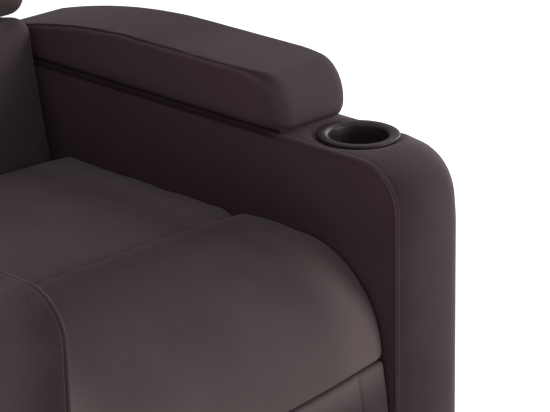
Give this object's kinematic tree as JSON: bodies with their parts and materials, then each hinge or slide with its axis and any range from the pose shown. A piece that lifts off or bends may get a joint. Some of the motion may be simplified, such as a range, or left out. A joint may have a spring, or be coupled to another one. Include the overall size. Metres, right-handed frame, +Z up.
{
  "type": "recliner chair",
  "caption": "Upholstered recliner with padded box arms, sunk cup holders, a stitched roll-front seat, a tilting back, a lift-out footrest and a side lever.",
  "frame": {"origin": "on the floor, under the middle of the object's box", "axes": "+Z up, -Y the way the seat faces, +X to the sitter's left"},
  "size_m": [0.844, 0.889, 1.0411],
  "materials": {
    "upholstery": "dark brown short velvet",
    "cup_plastic": "dark brown satin",
    "steel": "black powder coat",
    "plywood": "raw plywood",
    "spring_steel": "oiled dark wire",
    "foot_plastic": "black matte",
    "lever_plastic": "dark brown satin"
  },
  "bodies": {
    "base": {"left_arm_cover": "upholstery", "right_arm_cover": "upholstery", "left_arm_frame": "plywood", "right_arm_frame": "plywood", "left_arm_pad": "upholstery", "right_arm_pad": "upholstery", "left_cup_holder": "cup_plastic", "right_cup_holder": "cup_plastic", "left_front_foot": "foot_plastic", "right_front_foot": "foot_plastic", "left_rear_foot": "foot_plastic", "right_rear_foot": "foot_plastic", "left_base_plate": "steel", "right_base_plate": "steel", "front_cross_tube": "steel", "rear_cross_tube": "steel", "lever_collar": "lever_plastic"},
    "swing_rear": {"left_rear_swing_link": "steel", "right_rear_swing_link": "steel"},
    "swing_front": {"left_front_swing_link": "steel", "right_front_swing_link": "steel"},
    "seat": {"left_seat_side_plate": "steel", "right_seat_side_plate": "steel", "left_seat_rail": "plywood", "right_seat_rail": "plywood", "front_seat_rail": "plywood", "rear_seat_rail": "plywood", "seat_spring_1": "spring_steel", "seat_spring_2": "spring_steel", "seat_spring_3": "spring_steel", "seat_spring_4": "spring_steel", "seat_cushion": "upholstery"},
    "backrest": {"left_back_bracket": "steel", "right_back_bracket": "steel", "left_back_post": "plywood", "right_back_post": "plywood", "lower_back_rail": "plywood", "upper_back_rail": "plywood", "lumbar_cushion": "upholstery", "middle_cushion": "upholstery", "head_cushion": "upholstery", "back_cover": "upholstery"},
    "foot_drive": {"left_drive_link": "steel", "right_drive_link": "steel", "drive_tube": "steel"},
    "foot_guide": {"left_guide_link": "steel", "right_guide_link": "steel"},
    "foot_knee": {"left_knee_link": "steel", "right_knee_link": "steel"},
    "foot_control": {"left_control_link": "steel", "right_control_link": "steel"},
    "footrest": {"left_footrest_bracket": "steel", "right_footrest_bracket": "steel", "footrest_board": "plywood", "footrest_pad": "upholstery"},
    "release_handle": {"release_lever": "lever_plastic", "release_shaft": "steel", "latch_pawl": "steel"}
  },
  "joints": [
    {"name": "recline", "type": "hinge", "parent": "base", "child": "swing_rear", "pos_m": [0.009, 0.07253, 0.187], "axis": [1, 0, 0], "range_deg": [0, 42]},
    {"name": "front_swing", "type": "hinge", "parent": "base", "child": "swing_front", "pos_m": [0.009, -0.20747, 0.187], "axis": [1, 0, 0], "range_deg": [0, 42]},
    {"name": "seat_carry", "type": "hinge", "parent": "swing_rear", "child": "seat", "pos_m": [0.009, 0.11753, 0.26494], "axis": [1, 0, 0], "range_deg": [-42, 0]},
    {"name": "back_tilt", "type": "hinge", "parent": "seat", "child": "backrest", "pos_m": [0.009, 0.25952, 0.34], "axis": [-1, 0, 0], "range_deg": [0, 38]},
    {"name": "footrest_extend", "type": "hinge", "parent": "seat", "child": "foot_drive", "pos_m": [0.009, -0.28248, 0.29], "axis": [-1, 0, 0], "range_deg": [0, 90]},
    {"name": "guide_swing", "type": "hinge", "parent": "seat", "child": "foot_guide", "pos_m": [0.009, -0.33447, 0.309], "axis": [-1, 0, 0], "range_deg": [0, 90]},
    {"name": "knee_swing", "type": "hinge", "parent": "foot_drive", "child": "foot_knee", "pos_m": [0.009, -0.17747, 0.065], "axis": [-1, 0, 0], "range_deg": [-90, 0]},
    {"name": "control_swing", "type": "hinge", "parent": "foot_drive", "child": "foot_control", "pos_m": [0.009, -0.17647, 0.1], "axis": [-1, 0, 0], "range_deg": [-90, 0]},
    {"name": "footrest_turn", "type": "hinge", "parent": "foot_knee", "child": "footrest", "pos_m": [0.009, -0.34247, 0.24], "axis": [-1, 0, 0], "range_deg": [0, 90]},
    {"name": "release_handle", "type": "hinge", "parent": "base", "child": "release_handle", "pos_m": [0.009, -0.07248, 0.183], "axis": [1, 0, 0], "range_deg": [0, 25], "stiffness_Nm_per_rad": 0.6, "springref_deg": -17.19}
  ],
  "couplings": [
    {"joint": "front_swing", "follows": "recline", "ratio": 1},
    {"joint": "seat_carry", "follows": "recline", "ratio": -1},
    {"joint": "back_tilt", "follows": "recline", "ratio": 0.9},
    {"joint": "guide_swing", "follows": "footrest_extend", "ratio": 1},
    {"joint": "knee_swing", "follows": "footrest_extend", "ratio": -1},
    {"joint": "control_swing", "follows": "footrest_extend", "ratio": -1},
    {"joint": "footrest_turn", "follows": "footrest_extend", "ratio": 1}
  ]
}
